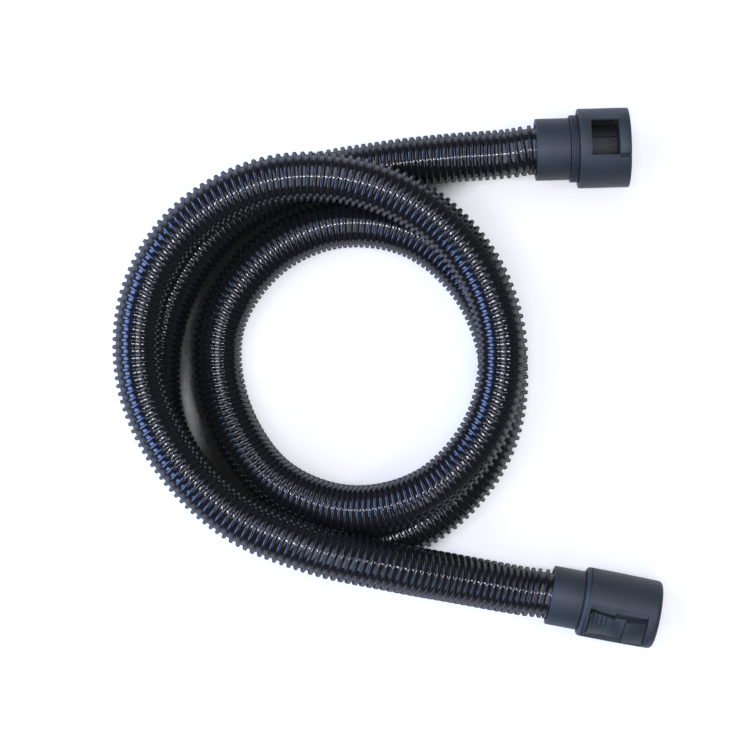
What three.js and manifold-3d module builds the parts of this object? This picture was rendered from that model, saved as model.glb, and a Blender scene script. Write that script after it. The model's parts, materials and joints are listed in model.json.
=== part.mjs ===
// Vacuum hose: a corrugated suction hose lying in a loose coil of two and a half turns, with a
// swivelling socket coupling on one end and a swivelling plug coupling with two latches on the other.
// Millimetres, +Z up. The hose rests on z = 0, and the origin is below the middle of the couplings.

import * as THREE from 'three';
import { mergeVertices } from 'three/addons/utils/BufferGeometryUtils.js';
import Module from 'manifold-3d';

const wasm = await Module();
wasm.setup();

// ---------------------------------------------------------------------------------------------
// Driving dimensions, in millimetres and degrees
// ---------------------------------------------------------------------------------------------

const GAP = 0.3;                  // between two pieces that seat against each other
const EDGE_BREAK = 0.6;           // small chamfer on moulded edges
const ROUND_OUTSIDE = 36;         // facets round a visible shell
const ROUND_INSIDE = 24;          // facets round a ring inside
const ROUND_LEVER = 48;           // facets that a full turn of a lever would have
const CUT = 60;                   // reach of a cutting block past the piece it cuts

// A corrugated wall is thin: the plain tube has the wall whose weight the folds amount to.
const HOSE = { outerRadius: 21.7, innerRadius: 19.7, sides: 10, steps: 90, gripLength: 25 };

// Both couplings are measured along their axis from the face that the hose goes into.
// Socket coupling: a neck, a ringed collar and a wide drum that takes the plug of a tool or wand.
const SOCKET = {
  length: 81.2,
  neckRadius: 27.1, neckLength: 29.5,
  journalRadius: 26, journalBore: 23, journalEnd: 44.2,
  insertRadius: 23.9,
  collarRadius: 29.5, collarEnd: 36.2, collarRings: 3,
  drumRadius: 34.85, drumStart: 37.2, drumBore: 32.4, backWall: 3,
  hubRadius: 28.4, hubEnd: 41.2,
  mouthBore: 31, mouthRing: 10.6,
  windowStart: 46.5, windowEnd: 69.9, windowWidth: 32,
  bandRadius: 35.25, bandFrom: -25, bandTo: 44,
  notchFrom: -18.4, notchTo: -15,
  spigotRadius: 20.4, spigotEnd: 77,
  bulkheadStart: 44.6, bulkheadEnd: 46.4,
  washerSeat: { depth: 0.6, radius: 30.5 }, sealStart: 33,
  ringSeat: { start: 70.5, end: 73.3, radius: 19.1 },
};

// Plug coupling: a neck and a round barrel with a latch lever in a flat-bottomed bay on two sides.
const PLUG = {
  length: 95.8,
  neckRadius: 26, neckLength: 27.5,
  journalRadius: 24.6, journalBore: 22.4, journalEnd: 33.4,
  insertRadius: 23.7,
  barrelRadius: 30.5, barrelStart: 28.2, barrelBore: 27.5, mouthRadius: 30, taperStart: 60,
  shoulderRound: 2.9, mouthRound: 4, frontWall: 4.2,
  hubEnd: 30.9,
  bayStart: 34.2, bayEnd: 85.8, bayFloor: 22.2, bayHalfWidth: 14.9, bayWall: 2.5,
  bayLedge: 1.8,
  // Beside the lever's pad the bay narrows: [along, half width].
  baySide: [[37, 14.9], [40, 14], [45, 12.8], [51, 12], [57.9, 11.6], [57.9, 16]],
  groove: { start: 33.5, end: 34.3, depth: 0.6 },
  washerSeat: { depth: 0.7, radius: 26.9 }, sealStart: 28.8,
  linerRear: 20, linerFront: 23.3, linerFrontBore: 21.2, coneStart: 54, coneEnd: 60,
  pip: { along: 36, angle: 74, radius: 1.3, proud: 0.45 },
};

const AIR_BORE = 17.8;            // radius of the air way through both couplings
const NECK_LIP = { depth: 2.1, radius: 22.3 };
const HOSE_STOP = { start: 25.6, end: 27.4 };
const SNAP_GROOVE = { width: 1.7, depth: 1.4 };

// The lever is one moulding: a dished press pad with finger ribs, a step, the catch and two arms
// that reach forward under the skin of the barrel and end in moulded trunnions.
const LEVER = {
  rear: 35, front: 85.2, waist: 67,
  // The pad narrows forwards, and the web and the front are a step wider: [along, half width].
  side: [[35, 11.4], [35.7, 12.7], [37.4, 13.2], [40, 12.9], [45, 11.8], [51, 11.1], [57.4, 10.7],
    [58.2, 11.9], [70, 12.2], [85.2, 13]],
  padEnd: 55, dishRadius: 27.3, lipRadius: 28.9, webRadius: 28.3, thickness: 2.5,
  ribs: [41, 45, 49], ribHeight: 0.6,
  catchRadius: 31.5, frontRadius: 28.6, innerRadius: 26,
  armInside: 11.8, armOutside: 13.4, armBottom: 21, armTop: 23,
  pivot: { along: 87.6, height: 21.7 }, trunnionRadius: 1.3, trunnionReach: 17, holeRadius: 1.65,
};

const SPRING = { along: 44, radius: 3, wire: 0.35, bottom: 20.8, top: 24, turns: 3 };

// Where the couplings lie: the middle of the face that the hose goes into, the turn of the axis
// about +Z from +X, and the roll about the axis from straight up towards -Y.
const SOCKET_END = { at: [-55.7, 200.3, 35.25], turn: 1.6, roll: -12.2 };
const PLUG_END = { at: [-42.6, -191.1, 31.3], turn: -10.9, roll: 40 };

// The hose's route between the two couplings. Three points at each end are worked out from the
// coupling, so that the hose runs straight into it. The bottom turns lie on the floor, and
// the upper turns lie on them, one hose diameter higher.
const STRAIGHT_OUT = 4;           // how far the hose leaves a coupling along its axis
const ON_FLOOR = 22.1;
const ROUTE = [
  [-80, 197, 35], [-130, 193.8, 29], [-191, 187.4, 22.5], [-262, 173.4, ON_FLOOR],
  [-327, 139.5, ON_FLOOR], [-371, 86, ON_FLOOR], [-390.5, 18, ON_FLOOR], [-381, -53, ON_FLOOR],
  [-338, -109, ON_FLOOR], [-275, -144, ON_FLOOR], [-204, -148.5, ON_FLOOR], [-136, -115, ON_FLOOR],
  [-93, -57.3, ON_FLOOR], [-83.5, 14, ON_FLOOR], [-109, 81.5, ON_FLOOR], [-162.5, 127, ON_FLOOR],
  [-232, 135.6, ON_FLOOR], [-293.8, 106.8, ON_FLOOR], [-333.4, 46.5, ON_FLOOR], [-328.5, -25, 24.8],
  [-286, -89.5, 39], [-219, -115.2, 50.2], [-149, -98, 64.5], [-100.5, -44.5, 66.2],
  [-86, 24, 66.2], [-107, 94, 66.2], [-156, 146, 66.2], [-224, 172, 66.2],
  [-295.5, 168.5, 65.3], [-359.5, 131.5, 64.4], [-396.5, 70.3, 64.4], [-399.5, -2, 65.3],
  [-371, -67, 66.2], [-318.3, -119.2, 68.5], [-252, -147.7, 69.8], [-183, -163.9, 60.3],
  [-120, -177.2, 41.5], [-67, -187.7, 31.4],
];

const COLOUR = {
  hose: 0x1b1d22, shell: 0x3a424c, inner: 0x2b2f35, steel: 0xa8adb2, rubber: 0x17181a,
};

// ---------------------------------------------------------------------------------------------
// Solids
// ---------------------------------------------------------------------------------------------

function solidOf(geometry) {
  const bare = geometry.clone();
  bare.deleteAttribute('normal');
  bare.deleteAttribute('uv');
  const merged = mergeVertices(bare);
  return new wasm.Manifold(new wasm.Mesh({
    numProp: 3,
    vertProperties: new Float32Array(merged.attributes.position.array),
    triVerts: new Uint32Array(merged.index.array),
  }));
}

function geometryOf(solid) {
  const { vertProperties, triVerts } = solid.getMesh();
  const geometry = new THREE.BufferGeometry();
  geometry.setAttribute('position', new THREE.BufferAttribute(vertProperties, 3));
  geometry.setIndex(new THREE.BufferAttribute(triVerts, 1));
  geometry.computeVertexNormals();
  return geometry;
}

// A ring about +X from a closed outline of [along, radius] points, in either direction.
function ring(outline, segments = ROUND_INSIDE) {
  const points = outline.map(([along, radius]) => new THREE.Vector2(radius, along));
  if (THREE.ShapeUtils.area(points) < 0) points.reverse();
  points.push(points[0].clone());
  return solidOf(new THREE.LatheGeometry(points, segments).rotateZ(-Math.PI / 2));
}

function block([x0, x1], [y0, y1], [z0, z1]) {
  const geometry = new THREE.BoxGeometry(x1 - x0, y1 - y0, z1 - z0);
  return solidOf(geometry.translate((x0 + x1) / 2, (y0 + y1) / 2, (z0 + z1) / 2));
}

// A rod along Y at a given place along the coupling and height above its axis.
function crossRod(along, height, radius, from, to) {
  const geometry = new THREE.CylinderGeometry(radius, radius, to - from, 16);
  return solidOf(geometry.translate(along, (from + to) / 2, height));
}

// A prism along Z from an outline in the X-Y plane.
function prism(shape, [z0, z1]) {
  const geometry = new THREE.ExtrudeGeometry(shape, { depth: z1 - z0, bevelEnabled: false });
  return solidOf(geometry.translate(0, 0, z0));
}

// A wedge between two angles from +Z towards +Y, and between two places along the axis.
function wedge(fromDegrees, toDegrees, [x0, x1]) {
  const [from, to] = [fromDegrees, toDegrees].map(THREE.MathUtils.degToRad);
  const shape = new THREE.Shape([
    new THREE.Vector2(0, 0),
    new THREE.Vector2(CUT * Math.sin(to), CUT * Math.cos(to)),
    new THREE.Vector2(CUT * Math.sin(from), CUT * Math.cos(from)),
  ]);
  // The outline is drawn in Y and Z and extruded along X.
  const geometry = new THREE.ExtrudeGeometry(shape, { depth: x1 - x0, bevelEnabled: false });
  const turn = new THREE.Matrix4().makeBasis(
    new THREE.Vector3(0, 1, 0), new THREE.Vector3(0, 0, 1), new THREE.Vector3(1, 0, 0));
  return solidOf(geometry.applyMatrix4(turn).translate(x0, 0, 0));
}

// The same solid on the far side of the axis.
const opposite = (solid) => solid.rotate([180, 0, 0]);
const onBothSides = (solid) => solid.add(opposite(solid));

// Points of a quarter round, from one angle to another about a centre in the [along, radius] plane.
function quarterRound([along, radius], size, fromDegrees, toDegrees, steps = 4) {
  return Array.from({ length: steps + 1 }, (_, i) => {
    const angle = THREE.MathUtils.degToRad(fromDegrees + (toDegrees - fromDegrees) * i / steps);
    return [along + size * Math.cos(angle), radius + size * Math.sin(angle)];
  });
}

// ---------------------------------------------------------------------------------------------
// Pieces that both couplings have
// ---------------------------------------------------------------------------------------------

// The cuff that grips the hose. Behind its stop it narrows to the journal that the shell turns on,
// with a groove for the snap ring that keeps the shell there.
function neckCuff(end) {
  const grooveFloor = end.journalRadius - SNAP_GROOVE.depth;
  const grooveEnd = end.hubEnd + SNAP_GROOVE.width;
  return ring([
    [0, end.neckRadius - 0.8], [0.8, end.neckRadius], [end.neckLength - GAP, end.neckRadius],
    [end.neckLength, end.neckRadius - GAP], [end.neckLength, end.journalRadius],
    [end.hubEnd, end.journalRadius], [end.hubEnd, grooveFloor], [grooveEnd, grooveFloor],
    [grooveEnd, end.journalRadius], [end.journalEnd, end.journalRadius],
    [end.journalEnd, end.journalBore], [HOSE_STOP.end, end.journalBore],
    [HOSE_STOP.end, AIR_BORE], [HOSE_STOP.start, AIR_BORE],
    [HOSE_STOP.start, end.insertRadius + GAP], [NECK_LIP.depth, end.insertRadius + GAP],
    [NECK_LIP.depth, NECK_LIP.radius], [0, NECK_LIP.radius],
  ], ROUND_OUTSIDE);
}

// The split sleeve that is screwed over the folds of the hose and then pushed into the cuff.
function hoseSleeve(end) {
  const bore = HOSE.outerRadius + 0.4;
  const [start, finish] = [NECK_LIP.depth + GAP, HOSE_STOP.start - GAP];
  const [waistStart, waistEnd] = [start + 4, finish - 4];
  const sleeve = ring([
    [start, bore], [start, end.insertRadius], [waistStart, end.insertRadius],
    [waistStart + 1, end.insertRadius - 0.6], [waistEnd - 1, end.insertRadius - 0.6],
    [waistEnd, end.insertRadius], [finish, end.insertRadius], [finish, bore],
  ]);
  return sleeve.subtract(block([0, CUT], [-1, 1], [0, CUT]));
}

// A lip seal round the air tube, inside the journal.
function lipSeal({ sealStart: start, journalBore }, tubeRadius) {
  const [inner, outer] = [tubeRadius + GAP, journalBore - GAP];
  const middle = (inner + outer) / 2;
  return ring([
    [start, inner], [start, outer], [start + 3, outer], [start + 3, middle + 0.3],
    [start + 1.2, middle], [start + 3, middle - 0.3], [start + 3, inner],
  ]);
}

// A C-shaped snap ring that sits in the journal's groove, in front of the shell's hub.
function snapRing(end) {
  const [start, finish] = [end.hubEnd + GAP, end.hubEnd + SNAP_GROOVE.width - GAP];
  const inner = end.journalRadius - SNAP_GROOVE.depth + GAP;
  const outer = end.journalRadius + 1.8;
  const closed = ring([[start, inner], [start, outer], [finish, outer], [finish, inner]]);
  return closed.subtract(block([0, CUT], [-4, 4], [-CUT, 0]));
}

// The low-friction washer between the neck and the shell that turns in front of it.
function slideRing(start, { journalRadius, washerSeat }) {
  const [inner, outer] = [journalRadius + GAP, washerSeat.radius - GAP];
  return ring([[start, inner], [start, outer], [start + 1, outer], [start + 1, inner]]);
}

// ---------------------------------------------------------------------------------------------
// Socket coupling
// ---------------------------------------------------------------------------------------------

// The collar behind the drum, with fine rings turned in its outside.
function socketCollar() {
  const start = SOCKET.neckLength + GAP;
  const ringWidth = (SOCKET.collarEnd - start) / SOCKET.collarRings;
  const outside = [];
  for (let i = 0; i < SOCKET.collarRings; i += 1) {
    const from = start + i * ringWidth;
    outside.push([from, SOCKET.collarRadius - 0.35], [from + 0.35, SOCKET.collarRadius]);
    outside.push([from + ringWidth - 0.35, SOCKET.collarRadius]);
  }
  outside.push([SOCKET.collarEnd, SOCKET.collarRadius - 0.35]);
  const bore = SOCKET.journalRadius + GAP;
  return ring([...outside, [SOCKET.collarEnd, bore], [start, bore]], ROUND_OUTSIDE);
}

// The drum: a wide shell on a hub, with a window on two sides, and a thicker ring round its mouth
// that a raised band crosses and a narrow notch lets the tool's guide key through.
function socketDrum() {
  const S = SOCKET;
  const backEnd = S.drumStart + S.backWall;
  const mouthStart = S.length - S.mouthRing;
  const { washerSeat } = S;
  let drum = ring([
    [S.drumStart, S.drumRadius - EDGE_BREAK], [S.drumStart + EDGE_BREAK, S.drumRadius],
    [S.length - EDGE_BREAK, S.drumRadius], [S.length, S.drumRadius - EDGE_BREAK],
    [S.length, S.mouthBore + 0.9], [S.length - 1.2, S.mouthBore],
    [mouthStart, S.mouthBore], [mouthStart, S.drumBore],
    [backEnd, S.drumBore], [backEnd, S.hubRadius], [S.hubEnd, S.hubRadius],
    [S.hubEnd, S.journalRadius + GAP], [S.drumStart + washerSeat.depth, S.journalRadius + GAP],
    [S.drumStart + washerSeat.depth, washerSeat.radius], [S.drumStart, washerSeat.radius],
  ], ROUND_OUTSIDE);

  const bandRing = ring([
    [mouthStart, S.drumRadius - 1], [mouthStart, S.bandRadius - 0.2], [mouthStart + 0.4, S.bandRadius],
    [S.length - EDGE_BREAK, S.bandRadius], [S.length - 0.05, S.drumRadius - 0.8],
    [S.length - 0.05, S.drumRadius - 1],
  ], ROUND_OUTSIDE);
  const band = bandRing.intersect(wedge(S.bandFrom, S.bandTo, [0, CUT * 2]));
  drum = drum.add(onBothSides(band));

  const halfWidth = S.windowWidth / 2;
  const window = block([S.windowStart, S.windowEnd], [-halfWidth, halfWidth], [S.spigotRadius, CUT]);
  const notch = block([S.windowEnd - 0.2, CUT * 2], [S.notchFrom, S.notchTo], [S.spigotRadius, CUT]);
  return drum.subtract(onBothSides(window.add(notch)));
}

// The air tube through the socket. Its bulkhead closes the drum behind the window, its front end
// is the spigot that the tool's tube slides over, and four guide ribs centre the tool on it.
function socketSpigot() {
  const S = SOCKET;
  const rear = S.journalBore - 3;
  const seat = S.ringSeat;
  const tube = ring([
    [HOSE_STOP.end + 3, AIR_BORE], [HOSE_STOP.end + 3, rear], [S.bulkheadStart, rear],
    [S.bulkheadStart, S.drumBore - GAP], [S.bulkheadEnd, S.drumBore - GAP],
    [S.bulkheadEnd, S.spigotRadius], [seat.start, S.spigotRadius], [seat.start, seat.radius],
    [seat.end, seat.radius], [seat.end, S.spigotRadius], [S.spigotEnd - 1, S.spigotRadius],
    [S.spigotEnd, S.spigotRadius - 1], [S.spigotEnd, AIR_BORE],
  ]);
  const ribLength = seat.start - S.bulkheadEnd - 1;
  let spigot = tube;
  for (const quarter of [0, 90, 180, 270]) {
    const rib = block([S.bulkheadEnd - 0.5, S.bulkheadEnd + ribLength], [-0.8, 0.8],
      [S.spigotRadius - 1, S.spigotRadius + 2.2]);
    spigot = spigot.add(rib.rotate([quarter - 12, 0, 0]));
  }
  return spigot;
}

// The rubber ring in the spigot's groove.
function spigotSealRing() {
  const { start, end, radius } = SOCKET.ringSeat;
  const section = quarterRound([(start + end) / 2, radius + GAP + 0.8], 0.8, 0, 315, 7);
  return ring(section);
}

// ---------------------------------------------------------------------------------------------
// Plug coupling
// ---------------------------------------------------------------------------------------------

// The barrel: a round shell with a rounded shoulder and mouth. On two sides a flat is cut into it,
// and through its floor the bay where the latch lever lies between two side walls.
function plugBarrel() {
  const P = PLUG;
  const frontInside = P.length - P.frontWall;
  const { groove, washerSeat } = P;
  const liner = P.linerFront + GAP;
  let barrel = ring([
    ...quarterRound([P.barrelStart + P.shoulderRound, P.barrelRadius - P.shoulderRound],
      P.shoulderRound, 180, 90),
    [groove.start, P.barrelRadius], [groove.start, P.barrelRadius - groove.depth],
    [groove.end, P.barrelRadius - groove.depth], [groove.end, P.barrelRadius],
    [P.taperStart, P.barrelRadius],
    ...quarterRound([P.length - P.mouthRound, P.mouthRadius - P.mouthRound], P.mouthRound, 90, 0),
    [P.length, liner], [frontInside, liner], [frontInside, P.barrelBore - 0.2],
    [P.hubEnd, P.barrelBore], [P.hubEnd, P.journalRadius + GAP],
    [P.barrelStart + washerSeat.depth, P.journalRadius + GAP],
    [P.barrelStart + washerSeat.depth, washerSeat.radius], [P.barrelStart, washerSeat.radius],
  ], ROUND_OUTSIDE);

  // Side walls of the bay, and the bosses that carry the lever's trunnions.
  const skin = ring([[0, 1], [0, P.barrelRadius - 1.5], [P.length, P.barrelRadius - 1.5], [P.length, 1]],
    ROUND_OUTSIDE);
  const [wallInside, wallOutside] = [P.bayHalfWidth, P.bayHalfWidth + P.bayWall];
  const { along, height } = LEVER.pivot;
  const wall = block([P.bayStart - 0.8, frontInside + 0.5], [wallInside, wallOutside],
    [P.bayFloor - P.bayLedge, P.bayFloor + 0.4]);
  const side = new THREE.Shape(P.baySide.map(([x, y]) => new THREE.Vector2(x, y)));
  const narrowing = prism(side, [P.bayFloor - P.bayLedge, P.bayFloor + 0.4]);
  const boss = block([along - 2.7, frontInside + 0.5], [wallInside, wallOutside + 0.8],
    [height - 2.4, height + 2.4]);
  const oneSide = wall.add(narrowing).add(boss).intersect(skin);
  const bothWalls = oneSide.add(oneSide.mirror([0, 1, 0]));
  barrel = barrel.add(onBothSides(bothWalls));

  const flat = block([P.bayStart, P.bayEnd], [-CUT, CUT], [P.bayFloor, CUT]);
  const socketHole = crossRod(along, height, LEVER.holeRadius, -wallOutside, wallOutside);
  barrel = barrel.subtract(onBothSides(flat)).subtract(onBothSides(socketHole));

  const { pip } = P;
  const pipDisc = new THREE.CylinderGeometry(pip.radius * 0.8, pip.radius, 2, 14).rotateX(Math.PI / 2);
  pipDisc.translate(pip.along, 0, P.barrelRadius - 1 + pip.proud);
  return barrel.add(solidOf(pipDisc).rotate([-pip.angle, 0, 0]));
}

// The air tube through the plug: narrow in the journal, wide at the mouth to go over a spigot.
function plugLiner() {
  const P = PLUG;
  return ring([
    [HOSE_STOP.end + 0.4, AIR_BORE], [HOSE_STOP.end + 0.4, P.linerRear], [P.coneStart, P.linerRear],
    [P.coneEnd, P.linerFront], [P.length - 0.5, P.linerFront], [P.length - 0.5, P.linerFrontBore + 0.8],
    [P.length - 2, P.linerFrontBore], [P.coneEnd, P.linerFrontBore], [P.coneStart, AIR_BORE],
  ]);
}

function latchLever() {
  const L = LEVER;
  const inner = (outer) => outer - L.thickness;
  const ribbed = L.ribs.flatMap((along) => [
    [along - 1, L.dishRadius], [along - 0.4, L.dishRadius + L.ribHeight],
    [along + 0.4, L.dishRadius + L.ribHeight], [along + 1, L.dishRadius],
  ]);
  const sector = ring([
    [L.rear, L.lipRadius - 1], [L.rear + 0.8, L.lipRadius], [L.rear + 1.8, L.lipRadius],
    [L.ribs[0] - 2.6, L.dishRadius + 0.3], ...ribbed, [L.padEnd - 3, L.dishRadius + 0.4],
    [L.padEnd - 0.6, L.webRadius + 0.5], [L.padEnd + 0.8, L.webRadius + 0.4],
    [L.padEnd + 2.4, L.webRadius], [L.waist, L.webRadius - 0.1],
    [L.waist + 0.4, L.catchRadius - 0.3], [L.waist + 1, L.catchRadius], [L.waist + 4, L.catchRadius - 0.3],
    [L.front - 0.7, L.frontRadius], [L.front, L.frontRadius - 0.6],
    [L.front, L.innerRadius], [L.waist + 4, L.innerRadius + 0.5], [L.waist, inner(L.webRadius)],
    [L.padEnd, inner(L.webRadius)], [L.padEnd - 4, inner(L.dishRadius)], [L.ribs[0] - 3, inner(L.dishRadius)],
    [L.rear + 1, inner(L.lipRadius) - 0.4], [L.rear, inner(L.lipRadius)],
  ], ROUND_LEVER);

  // The lever's outline as seen from above.
  const nearSide = L.side.map(([x, y]) => new THREE.Vector2(x, -y));
  const farSide = L.side.map(([x, y]) => new THREE.Vector2(x, y)).reverse();
  const plan = new THREE.Shape([...nearSide, ...farSide]);
  let lever = sector.intersect(prism(plan, [1, CUT]));

  const { along, height } = L.pivot;
  const arm = block([L.front - 4, along], [L.armInside, L.armOutside], [L.armBottom, L.armTop])
    .add(crossRod(along, height, L.armTop - height, L.armInside, L.armOutside))
    .add(crossRod(along, height, L.trunnionRadius, L.armInside, L.trunnionReach));
  lever = lever.add(arm).add(arm.mirror([0, 1, 0]));
  return lever;
}

function latchSpring() {
  const points = [];
  const perTurn = 9;
  for (let i = 0; i <= SPRING.turns * perTurn; i += 1) {
    const angle = 2 * Math.PI * i / perTurn;
    const height = SPRING.bottom + (SPRING.top - SPRING.bottom) * i / (SPRING.turns * perTurn);
    points.push(new THREE.Vector3(
      SPRING.along + SPRING.radius * Math.cos(angle), SPRING.radius * Math.sin(angle), height));
  }
  const path = new THREE.CatmullRomCurve3(points);
  const wire = new THREE.Shape().absarc(0, 0, SPRING.wire, 0, 2 * Math.PI);
  const options = { extrudePath: path, steps: SPRING.turns * 8, curveSegments: 3, bevelEnabled: false };
  return solidOf(new THREE.ExtrudeGeometry(wire, options));
}

// ---------------------------------------------------------------------------------------------
// Hose
// ---------------------------------------------------------------------------------------------

// A point on a coupling's axis, at a distance along it from the face that the hose goes into.
function onAxis(end, along) {
  const turn = THREE.MathUtils.degToRad(end.turn);
  const [x, y, z] = end.at;
  return new THREE.Vector3(x + along * Math.cos(turn), y + along * Math.sin(turn), z);
}

function polygon(radius, sides) {
  return Array.from({ length: sides }, (_, i) => {
    const angle = 2 * Math.PI * i / sides;
    return new THREE.Vector2(radius * Math.cos(angle), radius * Math.sin(angle));
  });
}

function hoseTube() {
  const reach = [HOSE.gripLength, 0, -STRAIGHT_OUT];
  const path = new THREE.CatmullRomCurve3([
    ...reach.map((along) => onAxis(SOCKET_END, along)),
    ...ROUTE.map((point) => new THREE.Vector3(...point)),
    ...reach.map((along) => onAxis(PLUG_END, along)).reverse(),
  ]);
  path.arcLengthDivisions = 4000;
  const section = new THREE.Shape(polygon(HOSE.outerRadius, HOSE.sides));
  section.holes.push(new THREE.Path(polygon(HOSE.innerRadius, HOSE.sides)));
  const options = { extrudePath: path, steps: HOSE.steps, bevelEnabled: false };
  return solidOf(new THREE.ExtrudeGeometry(section, options));
}

// ---------------------------------------------------------------------------------------------
// Assembly
// ---------------------------------------------------------------------------------------------

function mesh(name, solid, color, roughness = 0.55, metalness = 0) {
  const material = new THREE.MeshStandardMaterial({ color, roughness, metalness });
  const piece = new THREE.Mesh(geometryOf(solid), material);
  piece.name = name;
  return piece;
}

// A group whose +X is a coupling's axis and whose +Z is the side that the window or latch is on.
function couplingGroup(end) {
  const group = new THREE.Group();
  group.position.set(...end.at);
  group.rotation.order = 'ZYX';
  group.rotation.set(
    THREE.MathUtils.degToRad(end.roll), 0, THREE.MathUtils.degToRad(end.turn));
  return group;
}

function socketCoupling() {
  const group = couplingGroup(SOCKET_END);
  group.add(
    mesh('socket_neck_cuff', neckCuff(SOCKET), COLOUR.shell),
    mesh('socket_hose_sleeve', hoseSleeve(SOCKET), COLOUR.inner),
    mesh('socket_collar', socketCollar(), COLOUR.shell),
    mesh('socket_slide_ring', slideRing(SOCKET.collarEnd + GAP, SOCKET), COLOUR.inner),
    mesh('socket_snap_ring', snapRing(SOCKET), COLOUR.steel, 0.35, 1),
    mesh('socket_lip_seal', lipSeal(SOCKET, SOCKET.journalBore - 3), COLOUR.rubber, 0.8),
    mesh('socket_drum', socketDrum(), COLOUR.shell),
    mesh('socket_spigot', socketSpigot(), COLOUR.inner),
    mesh('socket_spigot_seal', spigotSealRing(), COLOUR.rubber, 0.8),
  );
  return group;
}

function plugCoupling() {
  const group = couplingGroup(PLUG_END);
  group.add(
    mesh('plug_neck_cuff', neckCuff(PLUG), COLOUR.shell),
    mesh('plug_hose_sleeve', hoseSleeve(PLUG), COLOUR.inner),
    mesh('plug_slide_ring', slideRing(PLUG.neckLength + GAP, PLUG), COLOUR.inner),
    mesh('plug_snap_ring', snapRing(PLUG), COLOUR.steel, 0.35, 1),
    mesh('plug_lip_seal', lipSeal(PLUG, PLUG.linerRear), COLOUR.rubber, 0.8),
    mesh('plug_barrel', plugBarrel(), COLOUR.shell),
    mesh('plug_liner', plugLiner(), COLOUR.inner),
    mesh('latch_lever_upper', latchLever(), COLOUR.shell),
    mesh('latch_lever_lower', opposite(latchLever()), COLOUR.shell),
    mesh('latch_spring_upper', latchSpring(), COLOUR.steel, 0.35, 1),
    mesh('latch_spring_lower', opposite(latchSpring()), COLOUR.steel, 0.35, 1),
  );
  return group;
}

const vacuumHose = new THREE.Group();
vacuumHose.add(mesh('hose', hoseTube(), COLOUR.hose, 0.35), socketCoupling(), plugCoupling());

export default vacuumHose;
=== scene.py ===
"""The looks of a corrugated vacuum hose with a swivelling coupling on each end.

Everything is in metres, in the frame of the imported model: +Z up, the hose resting on z = 0. Each coupling is
modelled along +X, with its window or latch towards +Z, and is then laid where its swivel joint is.
"""

import json
import math

import bpy
import numpy as np
from bpy.props import FloatProperty, FloatVectorProperty, IntProperty, PointerProperty, StringProperty
from mathutils import Matrix, Vector


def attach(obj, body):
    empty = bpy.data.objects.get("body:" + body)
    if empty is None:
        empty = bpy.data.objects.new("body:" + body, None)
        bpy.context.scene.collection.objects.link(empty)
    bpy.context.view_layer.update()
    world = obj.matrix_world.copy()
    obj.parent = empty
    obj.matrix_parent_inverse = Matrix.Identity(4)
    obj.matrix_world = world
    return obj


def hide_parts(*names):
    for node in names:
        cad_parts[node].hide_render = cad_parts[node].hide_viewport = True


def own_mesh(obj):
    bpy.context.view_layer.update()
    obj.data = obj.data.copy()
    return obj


bl_info = {
    "name": "Vacuum Hose",
    "version": (1, 0, 0),
    "blender": (4, 5, 0),
    "location": "View3D > Sidebar > Vacuum Hose",
    "description": "Models a corrugated suction hose with two swivelling couplings",
    "category": "Object",
}

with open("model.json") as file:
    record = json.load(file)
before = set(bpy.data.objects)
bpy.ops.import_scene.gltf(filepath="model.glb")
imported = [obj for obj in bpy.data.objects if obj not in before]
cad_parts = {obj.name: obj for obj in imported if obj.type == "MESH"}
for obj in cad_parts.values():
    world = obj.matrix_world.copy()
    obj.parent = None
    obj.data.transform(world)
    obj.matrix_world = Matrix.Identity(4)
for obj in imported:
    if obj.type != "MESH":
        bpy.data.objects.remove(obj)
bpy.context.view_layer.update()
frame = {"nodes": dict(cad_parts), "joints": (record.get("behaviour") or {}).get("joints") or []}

MM = 0.001
TURN_STEPS = 96                 # facets round a turned shell
ROD_STEPS = 32                  # facets round a rod
BEYOND = 60                     # further out from a coupling's axis than any piece reaches, in millimetres
NEARLY_STRAIGHT = math.radians(140)     # a corner of an outline that is wider than this stays as it is
EASED_SHARE = 0.4               # the most of a corner's side that its rounding takes
CUT_EDGE = math.radians(50)     # a cut edge that turns more than this is rounded
SMOOTH_EDGE = math.radians(35)  # an edge that turns less than this is shaded smooth
WELD = 0.001 * MM               # points that are closer than this are merged

# The hose's route between the two couplings, in millimetres. In plan it is the hose's middle line, measured
# in the photograph, smoothed, thinned to these points and eased apart until no turns touch. Its heights are
# estimates: the bottom turns lie on the floor and the upper turns lie on them.
ON_FLOOR = 22.1
ROUTE = [
    (-80, 197, 35), (-130, 193.8, 29), (-191, 187.4, 22.5), (-262, 173.4, ON_FLOOR), (-327, 139.5, ON_FLOOR),
    (-371, 86, ON_FLOOR), (-390.5, 18, ON_FLOOR), (-381, -53, ON_FLOOR), (-338, -109, ON_FLOOR),
    (-275, -144, ON_FLOOR), (-204, -148.5, ON_FLOOR), (-136, -115, ON_FLOOR), (-93, -57.3, ON_FLOOR),
    (-83.5, 14, ON_FLOOR), (-109, 81.5, ON_FLOOR), (-162.5, 127, ON_FLOOR), (-232, 135.6, ON_FLOOR),
    (-293.8, 106.8, ON_FLOOR), (-333.4, 46.5, ON_FLOOR), (-328.5, -25, 24.8), (-286, -89.5, 39),
    (-219, -115.2, 50.2), (-149, -98, 64.5), (-100.5, -44.5, 66.2), (-86, 24, 66.2), (-107, 94, 66.2),
    (-156, 146, 66.2), (-224, 172, 66.2), (-295.5, 168.5, 65.3), (-359.5, 131.5, 64.4), (-396.5, 70.3, 64.4),
    (-399.5, -2, 65.3), (-371, -67, 66.2), (-318.3, -119.2, 68.5), (-252, -147.7, 69.8), (-183, -163.9, 60.3),
    (-120, -177.2, 41.5), (-67, -187.7, 31.4),
]
GRIP = 25                       # how far the hose goes into a coupling, in millimetres
STRAIGHT_OUT = 4                # how far it leaves a coupling along its axis


# --- Settings ---

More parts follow.
